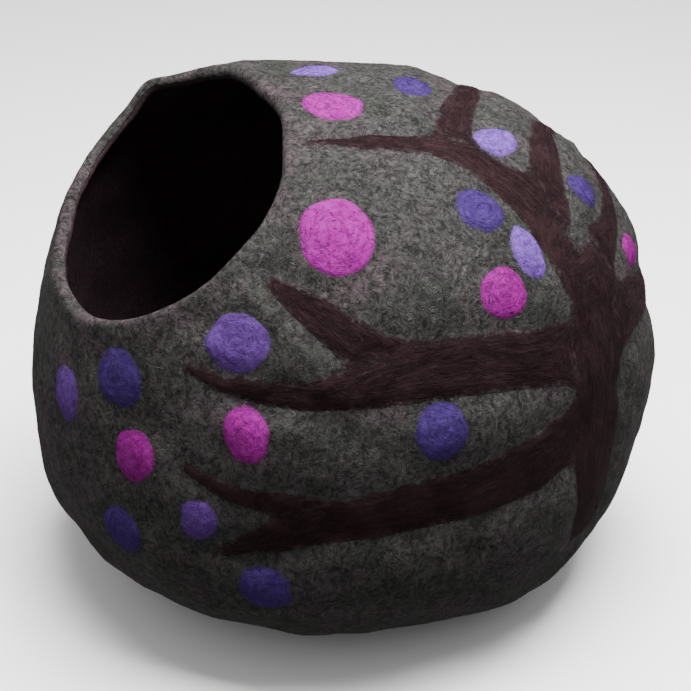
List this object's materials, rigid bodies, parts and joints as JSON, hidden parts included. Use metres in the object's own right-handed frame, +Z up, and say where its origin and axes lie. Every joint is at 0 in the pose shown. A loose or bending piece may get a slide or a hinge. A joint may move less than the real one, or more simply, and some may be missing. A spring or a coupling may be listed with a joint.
{
  "type": "felt cat cave",
  "caption": "Rounded hollow wool felt pet cave with one round mouth on a slant, a felted tree and felted dots on its outside.",
  "frame": {"origin": "middle of the flat base, where the cave stands", "axes": "+Z up, the mouth looks towards -Y and up, the tree's trunk is on the +X side"},
  "size_m": [0.4357, 0.4361, 0.3504],
  "materials": {
    "grey_wool": "matt heathered charcoal wool felt, aubergine on the inside",
    "bark_wool": "matt dark aubergine wool felt",
    "magenta_wool": "matt needle-felted wool",
    "indigo_wool": "matt needle-felted wool",
    "violet_wool": "matt needle-felted wool",
    "lavender_wool": "matt needle-felted wool"
  },
  "bodies": {
    "root": {"felt_body": "grey_wool", "trunk": "bark_wool", "branch_low": "bark_wool", "twig_low": "bark_wool", "branch_middle": "bark_wool", "twig_middle": "bark_wool", "bough_left": "bark_wool", "bough_crown": "bark_wool", "bough_back": "bark_wool", "bough_side": "bark_wool", "bough_far": "bark_wool", "dot_large": "magenta_wool", "dot_magenta_1": "magenta_wool", "dot_magenta_2": "magenta_wool", "dot_magenta_3": "magenta_wool", "dot_magenta_4": "magenta_wool", "dot_magenta_5": "magenta_wool", "dot_back_1": "magenta_wool", "dot_back_4": "magenta_wool", "dot_indigo_1": "indigo_wool", "dot_indigo_2": "indigo_wool", "dot_indigo_3": "indigo_wool", "dot_indigo_4": "indigo_wool", "dot_indigo_5": "indigo_wool", "dot_indigo_6": "indigo_wool", "dot_indigo_7": "indigo_wool", "dot_back_2": "indigo_wool", "dot_back_6": "indigo_wool", "dot_violet_1": "violet_wool", "dot_violet_2": "violet_wool", "dot_violet_3": "violet_wool", "dot_back_3": "violet_wool", "dot_back_7": "violet_wool", "dot_lavender_1": "lavender_wool", "dot_lavender_2": "lavender_wool", "dot_lavender_3": "lavender_wool", "dot_back_5": "lavender_wool"}
  },
  "joints": []
}
